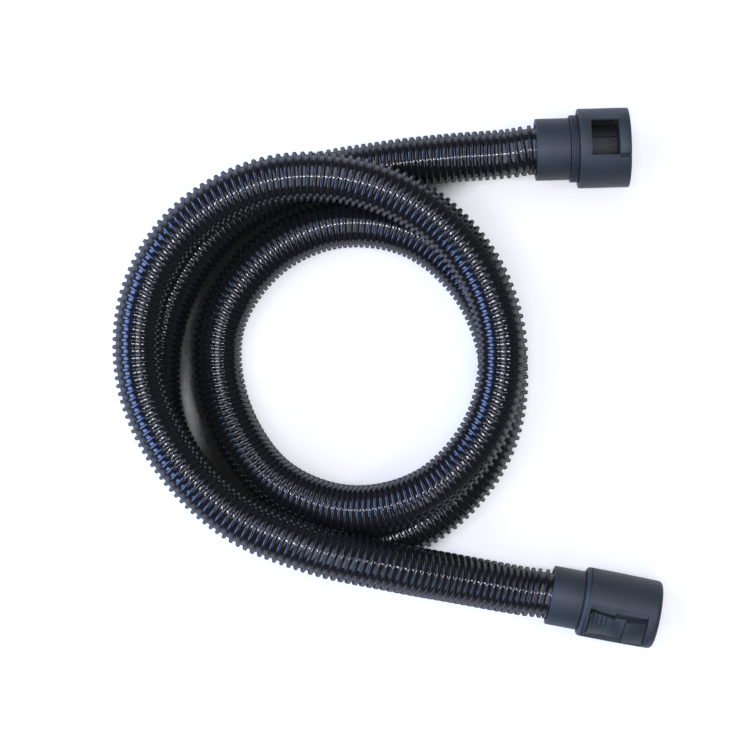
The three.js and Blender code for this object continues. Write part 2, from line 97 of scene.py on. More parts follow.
class HoseSettings(bpy.types.PropertyGroup):
    """Sizes and colours of the corrugated hose"""

    outer_radius: FloatProperty(
        name="Outer radius", description="Radius over the ridges", default=21.7 * MM, unit="LENGTH")
    root_radius: FloatProperty(
        name="Root radius", description="Radius at the foot of the grooves", default=18.8 * MM, unit="LENGTH")
    bore_radius: FloatProperty(
        name="Bore radius", description="Radius of the smooth inside", default=17.6 * MM, unit="LENGTH")
    facets: IntProperty(
        name="Facets", description="Facets round the hose", default=36)
    colour: StringProperty(
        name="Colour", description="Colour of the hose, as sRGB hex", default="#151618")
    dust_colour: StringProperty(
        name="Dust colour", description="Colour of the dust in the grooves, as sRGB hex", default="#17181A")


class CouplingSettings(bpy.types.PropertyGroup):
    """Sizes and colours of the two couplings"""

    drum_radius: FloatProperty(
        name="Drum radius", description="Radius of the socket's drum", default=34.85 * MM, unit="LENGTH")
    barrel_radius: FloatProperty(
        name="Barrel radius", description="Radius of the plug's barrel", default=30.5 * MM, unit="LENGTH")
    edge: FloatProperty(
        name="Edge", description="How far moulded edges are rounded", default=0.5 * MM, unit="LENGTH")
    shell_colour: StringProperty(
        name="Shell colour", description="Colour of the outer mouldings, as sRGB hex", default="#20282B")
    worn_colour: StringProperty(
        name="Worn colour", description="Colour of rubbed edges, as sRGB hex", default="#3A454A")
    # Painted shade: the near-black that the shells' corners and hollows are darkened towards.
    painted_shade_colour: StringProperty(
        name="Film colour", description="Colour of dust in corners, as sRGB hex", default="#0D0D0D")
    inner_colour: StringProperty(
        name="Inner colour", description="Colour of the inner mouldings, as sRGB hex", default="#151617")
    rubber_colour: StringProperty(
        name="Rubber colour", description="Colour of the seals, as sRGB hex", default="#191A1B")
    steel_colour: StringProperty(
        name="Steel colour", description="Colour of springs and snap rings, as sRGB hex", default="#C9CACB")


class StageSettings(bpy.types.PropertyGroup):
    """The camera's place, and the colours of floor and lamps"""

    camera_place: FloatVectorProperty(
        name="Camera place", description="Where the camera hangs, looking straight down",
        default=(-196.6 * MM, 2.4 * MM, 1996 * MM), subtype="TRANSLATION")
    focal_share: FloatProperty(
        name="Focal share", description="Focal length as a share of the picture's width", default=2230 / 750)
    floor_colour: StringProperty(
        name="Floor colour", description="Colour of the pale floor, as sRGB hex", default="#CBCAC8")
    window_colour: StringProperty(
        name="Window colour", description="Light of the window lamp, as sRGB hex", default="#94B6FF")
    ceiling_colour: StringProperty(
        name="Ceiling colour", description="Light of the long overhead lamp, as sRGB hex", default="#E4EAFF")
    panel_colour: StringProperty(
        name="Panel colour", description="Light of the small overhead lamps, as sRGB hex", default="#F2F1FA")


# --- Helpers ---

def linear(hex_text, alpha=1.0):
    """An sRGB hex colour as the linear RGBA that shaders take."""
    channels = [int(hex_text[i:i + 2], 16) / 255 for i in (1, 3, 5)]
    return tuple(c / 12.92 if c <= 0.04045 else ((c + 0.055) / 1.055) ** 2.4 for c in channels) + (alpha,)


def add_node(material, kind, inputs=None, **settings):
    """Adds one node, sets it, and fills its inputs with values or with links from other nodes' outputs."""
    tree = material.node_tree
    node = tree.nodes.new(kind)
    for name, value in settings.items():
        setattr(node, name, value)
    for name, value in (inputs or {}).items():
        if isinstance(value, bpy.types.NodeSocket):
            tree.links.new(value, node.inputs[name])
        else:
            node.inputs[name].default_value = value
    return node


def blank_material(name):
    """The material of this name, made where it is missing, with an empty node tree."""
    material = bpy.data.materials.get(name) or bpy.data.materials.new(name)
    material.use_nodes = True
    material.node_tree.nodes.clear()
    return material


def deselect_all():
    """Selects nothing, so that an operator acts on what is added or picked next."""
    for item in bpy.context.selected_objects:
        item.select_set(False)


def make_active(piece):
    """Selects one piece alone and makes it the active one."""
    deselect_all()
    piece.select_set(True)
    bpy.context.view_layer.objects.active = piece


def eased(outline, size, steps=3):
    """A closed outline with its sharp corners rounded, less where a corner's sides are short."""
    result = []
    for i, corner in enumerate(outline):
        here = Vector(corner)
        back = Vector(outline[i - 1]) - here
        on = Vector(outline[(i + 1) % len(outline)]) - here
        if back.angle(on) > NEARLY_STRAIGHT:
            result.append(corner)
            continue
        reach = min(size, EASED_SHARE * back.length, EASED_SHARE * on.length)
        start = here + back.normalized() * reach
        end = here + on.normalized() * reach
        for k in range(steps + 1):
            u = k / steps
            result.append(tuple(start * (1 - u) ** 2 + here * 2 * u * (1 - u) + end * u * u))
    return result


def quarter_round(along, radius, size, first, last, steps=8):
    """Points of a round, from one angle in degrees to another, about a centre at (along, radius)."""
    angles = [math.radians(first + (last - first) * i / steps) for i in range(steps + 1)]
    return [(along + size * math.cos(angle), radius + size * math.sin(angle)) for angle in angles]


def outline_mesh(outline, place, fill="NOTHING"):
    """A new closed outline in millimetres, put in space by a function of each point's two values."""
    deselect_all()
    bpy.ops.mesh.primitive_circle_add(vertices=len(outline), radius=MM, fill_type=fill)
    piece = bpy.context.object
    for vertex, point in zip(piece.data.vertices, outline):
        vertex.co = Vector(place(*point)) * MM
    bpy.ops.object.mode_set(mode="EDIT")
    bpy.ops.mesh.select_all(action="SELECT")
    return piece


def close_mesh():
    """Ends an edit: merges what meets, turns the faces outwards and leaves edit mode."""
    bpy.ops.mesh.select_all(action="SELECT")
    bpy.ops.mesh.remove_doubles(threshold=WELD)
    bpy.ops.mesh.normals_make_consistent(inside=False)
    bpy.ops.object.mode_set(mode="OBJECT")


def settled():
    """The active piece, with its place, turn and size taken into its mesh."""
    bpy.ops.object.transform_apply(location=True, rotation=True, scale=True)
    return bpy.context.object


def turned(outline, steps=TURN_STEPS):
    """A closed ring about +X, from an outline of (along, radius) points in millimetres."""
    piece = outline_mesh(outline, lambda along, radius: (along, 0, radius))
    bpy.ops.mesh.spin(steps=steps, angle=math.tau, center=(0, 0, 0), axis=(1, 0, 0))
    close_mesh()
    return piece


def prism(outline, bottom, top):
    """A prism along +Z, from an outline of (along, side) points in millimetres."""
    piece = outline_mesh(outline, lambda along, side: (along, side, bottom), fill="NGON")
    bpy.ops.mesh.extrude_region_move(TRANSFORM_OT_translate={"value": (0, 0, (top - bottom) * MM)})
    close_mesh()
    return piece


def wedge(first, last, start, end):
    """A wedge between two angles from +Z towards +Y in degrees, and between two places along +X."""
    angles = [math.radians(angle) for angle in (first, last)]
    outline = [(0, 0)] + [(BEYOND * math.sin(angle), BEYOND * math.cos(angle)) for angle in angles]
    piece = outline_mesh(outline, lambda side, up: (start, side, up), fill="NGON")
    bpy.ops.mesh.extrude_region_move(TRANSFORM_OT_translate={"value": ((end - start) * MM, 0, 0)})
    close_mesh()
    return piece


def block(along, side, up):
    """A block between two places along each axis, in millimetres."""
    spans = (along, side, up)
    deselect_all()
    bpy.ops.mesh.primitive_cube_add(
        size=1, location=[(low + high) / 2 * MM for low, high in spans],
        scale=[(high - low) * MM for low, high in spans])
    return settled()


def cross_rod(along, height, radius, start, end):
    """A rod along +Y at a place along the coupling and a height above its axis, in millimetres."""
    deselect_all()
    bpy.ops.mesh.primitive_cylinder_add(
        vertices=ROD_STEPS, radius=radius * MM, depth=(end - start) * MM,
        location=(along * MM, (start + end) / 2 * MM, height * MM), rotation=(math.pi / 2, 0, 0))
    return settled()


def combine(piece, tool, operation):
    """Joins a tool to a piece (UNION), cuts it out (DIFFERENCE) or keeps what both hold (INTERSECT)."""
    make_active(piece)
    modifier = piece.modifiers.new("combine", "BOOLEAN")
    modifier.object = tool
    modifier.operation = operation
    modifier.solver = "EXACT"
    bpy.ops.object.modifier_apply(modifier=modifier.name)
    bpy.data.objects.remove(tool)
    return piece


def copy_turned(piece, degrees):
    """A copy with its own mesh, turned about +X."""
    copy = piece.copy()
    copy.data = piece.data.copy()
    bpy.context.scene.collection.objects.link(copy)
    copy.rotation_euler = (math.radians(degrees), 0, 0)
    make_active(copy)
    return settled()


def combine_round(piece, tool, operation, *angles):
    """Combines a copy of the tool at each angle round the coupling's axis, and removes the tool."""
    for degrees in angles:
        combine(piece, copy_turned(tool, degrees), operation)
    bpy.data.objects.remove(tool)


def copy_mirrored(piece):
    """A copy with its own mesh, mirrored from one side of the coupling to the other."""
    copy = copy_turned(piece, 0)
    copy.scale = (1, -1, 1)
    settled()
    bpy.ops.object.mode_set(mode="EDIT")
    close_mesh()
    return copy


def lay(piece, name, place, edge=0):
    """Rounds a piece's cut edges, shades it, and lays it where its coupling is."""
    piece.name = piece.data.name = name
    make_active(piece)
    if edge:
        modifier = piece.modifiers.new("edge", "BEVEL")
        modifier.width = edge
        modifier.segments = 2
        modifier.angle_limit = CUT_EDGE
        bpy.ops.object.modifier_apply(modifier=modifier.name)
    bpy.ops.object.shade_smooth_by_angle(angle=SMOOTH_EDGE)
    piece.matrix_world = place
    return settled()


def dress(piece, material, body, slot, *nodes):
    """Gives a finished piece its material and its body, and hides the nodes that it stands for. The slot is
    not used.
    """
    piece.data.materials.clear()
    piece.data.materials.append(material)
    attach(piece, body)
    if nodes:
        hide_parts(*nodes)


# --- Where the couplings lie ---

def coupling_place(joint_name, roll_degrees):
    """The matrix that lays a coupling modelled along +X on the axis of its swivel joint."""
    joint = next(j for j in frame["joints"] if j["name"] == joint_name)
    axis = Vector(joint["axis"])
    turn = Matrix.Rotation(math.atan2(axis.y, axis.x), 4, "Z")
    roll = Matrix.Rotation(math.radians(roll_degrees), 4, "X")
    return Matrix.Translation(joint["pos_m"]) @ turn @ roll


SOCKET_PLACE = coupling_place("socket_swivel", -12.2)
PLUG_PLACE = coupling_place("plug_swivel", 40)


# --- Materials ---

def extruded_eva(settings):
    """EVA copolymer, extruded as a strip and wound hot into a tube.

    The die leaves a glossy black skin. Handling polishes the ridges, and the grooves hold a little fine dust.
    """
    material = blank_material("extruded_eva_black")
    crest = add_node(material, "ShaderNodeAttribute", attribute_name="crest")
    coords = add_node(material, "ShaderNodeTexCoord")
    # Slow changes of gloss, about 40 mm long, from handling.
    handling = add_node(material, "ShaderNodeTexNoise", {
        "Vector": coords.outputs["Object"], "Scale": 25.0, "Detail": 3.0, "Roughness": 0.6})
    gloss = add_node(material, "ShaderNodeMapRange", {
        "Value": handling.outputs["Fac"], "From Min": 0.3, "From Max": 0.7, "To Min": 0.08, "To Max": 0.15})
    # A fine haze on the skin takes the gloss off where it is seen at a glancing angle.
    glancing = add_node(material, "ShaderNodeLayerWeight", {"Blend": 0.5})
    haze = add_node(material, "ShaderNodeMapRange", {
        "Value": glancing.outputs["Facing"], "From Min": 0.5, "From Max": 0.85, "To Min": 0.0, "To Max": 0.9})
    hazed = add_node(material, "ShaderNodeMath", {
        0: gloss.outputs["Result"], 1: haze.outputs["Result"]}, operation="MAXIMUM")
    colour = add_node(material, "ShaderNodeMix", {
        "Factor": crest.outputs["Fac"], "A": linear(settings.dust_colour), "B": linear(settings.colour),
    }, data_type="RGBA")
    shader = add_node(material, "ShaderNodeBsdfPrincipled", {
        "Base Color": colour.outputs["Result"], "Roughness": hazed.outputs["Value"], "IOR": 1.45})
    add_node(material, "ShaderNodeOutputMaterial", {"Surface": shader.outputs["BSDF"]})
    return material


def moulded_abs(settings):
    """ABS, injection moulded in a spark-eroded tool.

    The tool leaves a fine even grain that breaks up the gloss. Rubbed edges are a little lighter. Corners and
    hollows are darkened as painted shade.
    """
    material = blank_material("moulded_abs_slate")
    coords = add_node(material, "ShaderNodeTexCoord")
    surface = add_node(material, "ShaderNodeNewGeometry")
    # The real grain is about 0.1 mm. It is drawn at 0.4 mm, so that it shows.
    grain = add_node(material, "ShaderNodeTexNoise", {
        "Vector": coords.outputs["Object"], "Scale": 2500.0, "Detail": 2.0, "Roughness": 0.6})
    # Slow changes of gloss and tone, about 25 mm long, from moulding and handling.
    handling = add_node(material, "ShaderNodeTexNoise", {
        "Vector": coords.outputs["Object"], "Scale": 40.0, "Detail": 4.0, "Roughness": 0.65})
    round_normal = add_node(material, "ShaderNodeBevel", {"Radius": 0.7 * MM}, samples=4)
    turn = add_node(material, "ShaderNodeVectorMath", {
        0: round_normal.outputs["Normal"], 1: surface.outputs["True Normal"]}, operation="DOT_PRODUCT")
    worn = add_node(material, "ShaderNodeMapRange", {
        "Value": turn.outputs["Value"], "From Min": 0.97, "From Max": 0.8, "To Min": 0.0, "To Max": 0.6})
    patchy = add_node(material, "ShaderNodeMath", {
        0: worn.outputs["Result"], 1: handling.outputs["Fac"]}, operation="MULTIPLY")
    level = add_node(material, "ShaderNodeMapRange", {
        "Value": handling.outputs["Fac"], "From Min": 0.3, "From Max": 0.7, "To Min": 0.93, "To Max": 1.07})
    tone = add_node(material, "ShaderNodeHueSaturation", {
        "Value": level.outputs["Result"], "Color": linear(settings.shell_colour)})
    colour = add_node(material, "ShaderNodeMix", {
        "Factor": patchy.outputs["Value"], "A": tone.outputs["Color"], "B": linear(settings.worn_colour),
    }, data_type="RGBA")
    gloss = add_node(material, "ShaderNodeMapRange", {
        "Value": handling.outputs["Fac"], "From Min": 0.3, "From Max": 0.7, "To Min": 0.48, "To Max": 0.6})
    bump = add_node(material, "ShaderNodeBump", {
        "Height": grain.outputs["Fac"], "Distance": 0.05 * MM, "Strength": 0.5})
    # Corners and hollows are mixed towards a near-black colour, by how closely they are hemmed in within 6 mm:
    # painted shade.
    reach = add_node(material, "ShaderNodeAmbientOcclusion", {"Distance": 6 * MM}, samples=6)
    painted_shade_factor = add_node(material, "ShaderNodeMapRange", {
        "Value": reach.outputs["AO"], "From Min": 0.3, "From Max": 0.65, "To Min": 0.12, "To Max": 1.0})
    painted_corner_shade = add_node(material, "ShaderNodeMix", {
        "Factor": painted_shade_factor.outputs["Result"], "A": linear(settings.painted_shade_colour), "B": colour.outputs["Result"],
    }, data_type="RGBA")
    shader = add_node(material, "ShaderNodeBsdfPrincipled", {
        "Base Color": painted_corner_shade.outputs["Result"], "Roughness": gloss.outputs["Result"], "IOR": 1.46,
        "Normal": bump.outputs["Normal"]})
    add_node(material, "ShaderNodeOutputMaterial", {"Surface": shader.outputs["BSDF"]})
    return material


def plain_moulding(name, colour_text, scale, smooth, rough, ior, metallic=0.0):
    """A surface of one colour whose gloss changes slowly, over a length of 1 / scale metres."""
    material = blank_material(name)
    coords = add_node(material, "ShaderNodeTexCoord")
    cloud = add_node(material, "ShaderNodeTexNoise", {
        "Vector": coords.outputs["Object"], "Scale": scale, "Detail": 5.0, "Roughness": 0.7})
    gloss = add_node(material, "ShaderNodeMapRange", {
        "Value": cloud.outputs["Fac"], "From Min": 0.3, "From Max": 0.7, "To Min": smooth, "To Max": rough})
    shade = add_node(material, "ShaderNodeMapRange", {
        "Value": cloud.outputs["Fac"], "From Min": 0.3, "From Max": 0.7, "To Min": 0.88, "To Max": 1.12})
    colour = add_node(material, "ShaderNodeHueSaturation", {
        "Value": shade.outputs["Result"], "Color": linear(colour_text)})
    bump = add_node(material, "ShaderNodeBump", {
        "Height": cloud.outputs["Fac"], "Distance": 0.03 * MM, "Strength": 0.4})
    shader = add_node(material, "ShaderNodeBsdfPrincipled", {
        "Base Color": colour.outputs["Color"], "Roughness": gloss.outputs["Result"], "IOR": ior,
        "Metallic": metallic, "Normal": bump.outputs["Normal"]})
    add_node(material, "ShaderNodeOutputMaterial", {"Surface": shader.outputs["BSDF"]})
    return material


def moulded_polypropylene(settings):
    """Polypropylene, injection moulded in a blasted tool: fine-grained, darker and duller than the shells."""
    return plain_moulding("moulded_polypropylene_black", settings.inner_colour, 300.0, 0.55, 0.68, 1.49)


def moulded_nitrile(settings):
    """Nitrile rubber, press moulded: matt, with a trace of talc."""
    return plain_moulding("moulded_nitrile_rubber", settings.rubber_colour, 900.0, 0.65, 0.85, 1.52)


def drawn_spring_steel(settings):
    """Spring steel, drawn to wire or strip: bright, with fine drawing marks."""
    return plain_moulding("drawn_spring_steel", settings.steel_colour, 4000.0, 0.22, 0.36, 1.5, metallic=1.0)


# --- The hose ---

def axis_point(place, along):
    """A point on a coupling's axis, at a distance in millimetres from the face that the hose goes into."""
    return place @ Vector((along * MM, 0, 0))


def route_points():
    """The hose's route in metres, from inside the socket coupling to inside the plug coupling."""
    reach = (GRIP, 0, -STRAIGHT_OUT)
    start = [axis_point(SOCKET_PLACE, along) for along in reach]
    end = [axis_point(PLUG_PLACE, along) for along in reversed(reach)]
    return start + [Vector(point) * MM for point in ROUTE] + end


def smooth_curve(points, per_span=40):
    """A centripetal Catmull-Rom curve through the points, as an array."""
    curve = []
    for i in range(len(points) - 1):
        here, there = points[i], points[i + 1]
        before = points[i - 1] if i else 2 * here - there
        after = points[i + 2] if i + 2 < len(points) else 2 * there - here
        t0, t1, t2 = (math.sqrt((b - a).length) for a, b in ((before, here), (here, there), (there, after)))
        leave = ((here - before) / t0 - (there - before) / (t0 + t1) + (there - here) / t1) * t1
        arrive = ((there - here) / t1 - (after - here) / (t1 + t2) + (after - there) / t2) * t1
        for k in range(per_span):
            u = k / per_span
            curve.append(here + leave * u + (3 * (there - here) - 2 * leave - arrive) * u * u
                         + (2 * (here - there) + leave + arrive) * u ** 3)
    curve.append(points[-1])
    return np.array(curve)


def even_steps(curve, count):
    """The same curve as count points at even distances, with the distances."""
    steps = np.linalg.norm(np.diff(curve, axis=0), axis=1)
    travelled = np.concatenate([[0], np.cumsum(steps)])
    along = np.linspace(0, travelled[-1], count)
    return np.stack([np.interp(along, travelled, curve[:, k]) for k in range(3)], axis=1), along


def carried_sides(points):
    """A direction to the right and one upwards at each point, carried along the curve without twist."""
    tangents = np.gradient(points, axis=0)
    tangents /= np.linalg.norm(tangents, axis=1)[:, None]
    side = np.cross(tangents[0], [0, 0, 1])
    sides = []
    for tangent in tangents:
        side = side - tangent * (side @ tangent)
        side /= np.linalg.norm(side)
        sides.append(side)
    sides = np.array(sides)
    return sides, np.cross(sides, tangents)


def tube_points(centreline, along, angle, radius):
    """Points on tubes round the centreline, at distances along it, angles round it and radii."""
    points, travelled, sides, ups = centreline

    def at(values):
        return np.stack([np.interp(along, travelled, values[:, k]) for k in range(3)], axis=-1)

    across = at(sides) * np.cos(angle)[..., None] + at(ups) * np.sin(angle)[..., None]
    return at(points) + across * radius[..., None]


# Half of the ridge's section, from its middle outwards: millimetres along the hose, share of the way from
# root to ridge, and lean of the normal in degrees. The ridge is round, and the groove has a flat root.
RIDGE_SIDE = [(1.15, 1.0, 26), (1.8, 0.55, 62), (2.0, 0.0, 4)]
RIDGE = [(-along, rise, -lean) for along, rise, lean in reversed(RIDGE_SIDE)] + RIDGE_SIDE
LEAST_GROOVE = 0.35             # how far apart two ridges stay on the inside of a bend, in millimetres
FIRST_TURN = 0.75               # how many turns from the hose's end the ridge begins
# How far apart the ridges lie, in millimetres, at distances along the hose: handling has pushed them together
# in some places and pulled them apart in others.
PITCHES = [(0, 6.1), (330, 6.05), (450, 5.6), (600, 6.3), (720, 6.3), (900, 6.1), (1300, 5.6), (1400, 5.45),
           (1540, 5.45), (1650, 6.0), (1780, 6.35), (2040, 6.35), (2150, 6.08), (2350, 6.1), (2480, 6.35),
           (2610, 6.2), (2722, 6.15)]
BORE_STEPS = 60
ROUTE_SAMPLES = 3000


def corrugated_mesh(name, settings, centreline):
    """A closed tube: a helical ridge outside, a smooth bore inside, and flat ends.

    Rows run along the hose, one for each point of the ridge's section in each turn. Columns run round it,
    from its right side over its top to its left side.
    """
    facets, per_pitch = settings.facets, len(RIDGE)
    points, distance, sides, ups = centreline
    length = distance[-1]
    offset, rise, lean = np.array(RIDGE).T

    # How many turns the ridge has made at each distance.
    pitch = np.interp(distance, *(np.array(PITCHES).T * MM))
    turns = np.concatenate([[0], np.cumsum(np.diff(distance) / pitch[1:])])
    count = round(turns[-1])
    turns *= count / turns[-1]
    ridges = count - 2
    rows = ridges * per_pitch
    last = rows - 1

    def ring_grid(rings):
        return np.meshgrid(np.arange(rings), np.arange(facets), indexing="ij")

    def tube(along, column, radius):
        return tube_points(centreline, along, column * math.tau / facets, radius).reshape(-1, 3)

    row, column = ring_grid(rows)
    crest = rise[row % per_pitch]
    middle = np.interp(FIRST_TURN + row // per_pitch + column / facets, turns, distance)
    # A bend opens the grooves on its outside and closes them on its inside, and the ridges keep their width.
    forward = np.gradient(points, distance, axis=0)
    bend = np.gradient(forward, distance, axis=0)
    bend_right, bend_up = np.sum(bend * sides, axis=1), np.sum(bend * ups, axis=1)
    angle = column * math.tau / facets
    inwards = (np.interp(middle, distance, bend_right) * np.cos(angle)
               + np.interp(middle, distance, bend_up) * np.sin(angle))
    stretch = 1 - settings.outer_radius * inwards
    room = np.interp(middle, distance, pitch) * stretch - LEAST_GROOVE * MM
    squeeze = np.minimum(1, room / (2 * offset[-1] * MM))
    along = middle + offset[row % per_pitch] * MM * squeeze / stretch
    radius = settings.root_radius + crest * (settings.outer_radius - settings.root_radius)
    helix = tube(along, column, radius)
    rim_row, rim_column = ring_grid(2)
    rims = tube(rim_row * length, rim_column, np.full(rim_row.shape, settings.root_radius))
    bore_row, bore_column = ring_grid(BORE_STEPS + 1)
    bore = tube(bore_row / BORE_STEPS * length, bore_column, np.full(bore_row.shape, settings.bore_radius))

    def on_helix(r, c):
        """The helix goes on, after a full turn, on the row one pitch further."""
        return (r + c // facets * per_pitch) * facets + c % facets

    def on_rim(end, c):
        return (rows + end) * facets + c % facets

    def on_bore(r, c):
        return (rows + 2 + r) * facets + c % facets

    faces = [
        (on_helix(r, c), on_helix(r + 1, c), on_helix(r + 1, c + 1), on_helix(r, c + 1))
        for r in range(last) for c in range(facets) if c + 1 < facets or r + 1 + per_pitch < rows]
    # The ridge begins at column 0 and ends at the last column, each time with a face across it.
    cut, edge = facets - 1, last - per_pitch
    for c in range(cut):
        faces.append((on_rim(0, c), on_helix(0, c), on_helix(0, c + 1), on_rim(0, c + 1)))
        faces.append((on_helix(last, c), on_rim(1, c), on_rim(1, c + 1), on_helix(last, c + 1)))
    faces.append((on_helix(0, cut), on_helix(per_pitch, 0), on_helix(per_pitch - 1, 0), on_helix(0, 0),
                  on_rim(0, 0), on_rim(0, cut)))
    faces.append((on_helix(edge + 1, cut), on_helix(last, cut), on_rim(1, cut), on_rim(1, 0),
                  on_helix(last, 0), on_helix(edge, cut)))
    faces.append(tuple(on_helix(per_pitch - 1 - r, 0) for r in range(per_pitch)))
    faces.append(tuple(on_helix(edge + 1 + r, cut) for r in range(per_pitch)))
    for c in range(facets):
        faces.append((on_rim(0, c), on_rim(0, c + 1), on_bore(0, c + 1), on_bore(0, c)))
        faces.append((on_rim(1, c), on_bore(BORE_STEPS, c), on_bore(BORE_STEPS, c + 1), on_rim(1, c + 1)))
        faces += [(on_bore(r, c), on_bore(r, c + 1), on_bore(r + 1, c + 1), on_bore(r + 1, c))
                  for r in range(BORE_STEPS)]

    mesh = bpy.data.meshes.new(name)
    mesh.from_pydata(np.concatenate([helix, rims, bore]), [], faces)
    mesh.validate()
    mesh.shade_smooth()
    values = np.zeros(len(mesh.vertices), dtype=np.float32)
    values[:rows * facets] = crest.ravel()
    mesh.attributes.new("crest", "FLOAT", "POINT").data.foreach_set("value", values)

    # The root stays flat in the shading and the ridge round, whatever their facets do.
    outward = tube(along, column, np.full(along.shape, 1.0)) - tube(along, column, np.zeros(along.shape))
    forward = np.stack([np.interp(along.ravel(), distance, forward[:, k]) for k in range(3)], axis=1)
    tilt = np.radians(lean[row % per_pitch]).reshape(-1, 1)
    normals = np.zeros((len(mesh.vertices), 3))
    normals[:rows * facets] = outward * np.cos(tilt) + forward * np.sin(tilt)
    mesh.normals_split_custom_set_from_vertices(normals)
    return mesh


class VACUUM_HOSE_OT_hose(bpy.types.Operator):
    """Model the corrugated hose along its route"""

    bl_idname = "vacuum_hose.hose"
    bl_label = "Hose"

    def execute(self, context):
        settings = context.scene.vacuum_hose_hose
        points, along = even_steps(smooth_curve(route_points()), ROUTE_SAMPLES)
        centreline = (points, along, *carried_sides(points))
        name = "corrugated_hose"
        hose = bpy.data.objects.new(name, corrugated_mesh(name, settings, centreline))
        context.scene.collection.objects.link(hose)
        dress(hose, extruded_eva(settings), "hose_line", "hose_plastic", "hose")
        return {"FINISHED"}


# --- Pieces of both couplings ---

# All in millimetres, along each coupling's axis from the face that the hose goes into, and out from its axis.
SEAT = 0.3                      # between two pieces that seat against each other
AIR_BORE = 17.8
STOP_START, STOP_END = 25.6, 27.4
LIP_DEPTH, LIP_RADIUS = 2.1, 22.3
SNAP_WIDTH, SNAP_DEPTH = 1.7, 1.4
MOULDED_ROUND = 0.8             # the most that a turned moulding's corners are rounded
INTO = 0.5                      # how far a joined block reaches into what it is joined to
OUTSIDE = 9                     # how far a cutting block goes on past a coupling's mouth
SOCKET_NECK = {"radius": 27.1, "length": 29.5, "insert": 23.9,
               "journal": 26, "journal_bore": 23, "journal_end": 44.2, "hub_end": 41.2}
PLUG_NECK = {"radius": 26, "length": 27.5, "insert": 23.7,
             "journal": 24.6, "journal_bore": 22.4, "journal_end": 33.4, "hub_end": 30.9}


def neck_cuff(neck):
    """The cuff that grips the hose, with its stop inside and the grooved journal that the shell turns on."""
    journal, bore, hub_end = neck["journal"], neck["journal_bore"], neck["hub_end"]
    return turned(eased([
        (0, neck["radius"]), (neck["length"], neck["radius"]), (neck["length"], journal), (hub_end, journal),
        (hub_end, journal - SNAP_DEPTH), (hub_end + SNAP_WIDTH, journal - SNAP_DEPTH),
        (hub_end + SNAP_WIDTH, journal), (neck["journal_end"], journal), (neck["journal_end"], bore),
        (STOP_END, bore), (STOP_END, AIR_BORE), (STOP_START, AIR_BORE), (STOP_START, neck["insert"] + SEAT),
        (LIP_DEPTH, neck["insert"] + SEAT), (LIP_DEPTH, LIP_RADIUS), (0, LIP_RADIUS)], MOULDED_ROUND))


class VACUUM_HOSE_OT_necks(bpy.types.Operator):
    """Model the cuff of each coupling"""

    bl_idname = "vacuum_hose.necks"
    bl_label = "Neck cuffs"

    def execute(self, context):
        settings = context.scene.vacuum_hose_couplings
        for name, neck, place, node in (
                ("socket_cuff_moulding", SOCKET_NECK, SOCKET_PLACE, "socket_neck_cuff"),
                ("plug_cuff_moulding", PLUG_NECK, PLUG_PLACE, "plug_neck_cuff")):
            piece = lay(neck_cuff(neck), name, place)
            dress(piece, moulded_abs(settings), "hose_line", "coupling_plastic", node)
        return {"FINISHED"}


# --- The socket coupling ---

COLLAR = {"start": 29.8, "end": 36.2, "radius": 29.5, "rings": 5, "ring_depth": 0.5, "ring_slope": 0.3}
DRUM = {"start": 37.2, "end": 81.2, "wall": 2.45, "back": 3, "hub": 28.4, "washer": 30.5, "washer_depth": 0.6,
        "mouth": 10.6, "mouth_wall": 3.85, "lead": (1.2, 0.9), "round": 0.7}
WINDOW = {"start": 46.9, "end": 71.2, "half_width": 16}
# The raised band on the drum's rim: its angles from the window, and its section back from the drum's front
# and out from its outside.
BAND_ANGLES = (-25, 44)
BAND_SECTION = [(10.6, -1), (10.6, 0.2), (10.3, 0.4), (0.9, 0.4), (0.4, 0.2), (0.1, -0.7), (0.1, -1)]
NOTCH = {"near": -15.1, "far": -18.5, "run_out": 0.2, "floor": 28}      # a guide key's slot beside the window
SPIGOT = {"start": 30.4, "radius": 20.4, "end": 77, "bulkhead": (44.6, 46.4), "rear": 20,
          "groove": (70.5, 73.3), "groove_radius": 19.1, "root": 1, "edge_share": 0.5}
RIB = {"count": 4, "reach": 22.6, "half": 0.8, "turn": -12, "set_back": 1}
LUG = {"start": 63.5, "lead": 2, "end": 70.2, "half": 0.9, "tip": 0.2, "reach": 22.4, "degrees": (-12, 1.5)}
RING = {"cord": 0.8, "flash": 0.85, "flash_half": 0.03}


def ringed_collar():
    """The collar behind the drum, with fine rings round its outside."""
    width = (COLLAR["end"] - COLLAR["start"]) / COLLAR["rings"]
    slope = COLLAR["ring_slope"]
    top = COLLAR["radius"]
    floor = top - COLLAR["ring_depth"]
    outline = []
    for i in range(COLLAR["rings"]):
        start = COLLAR["start"] + i * width
        outline += [(start, floor), (start + slope, top), (start + width - slope, top)]
    bore = SOCKET_NECK["journal"] + SEAT
    return turned(outline + [(COLLAR["end"], floor), (COLLAR["end"], bore), (COLLAR["start"], bore)])


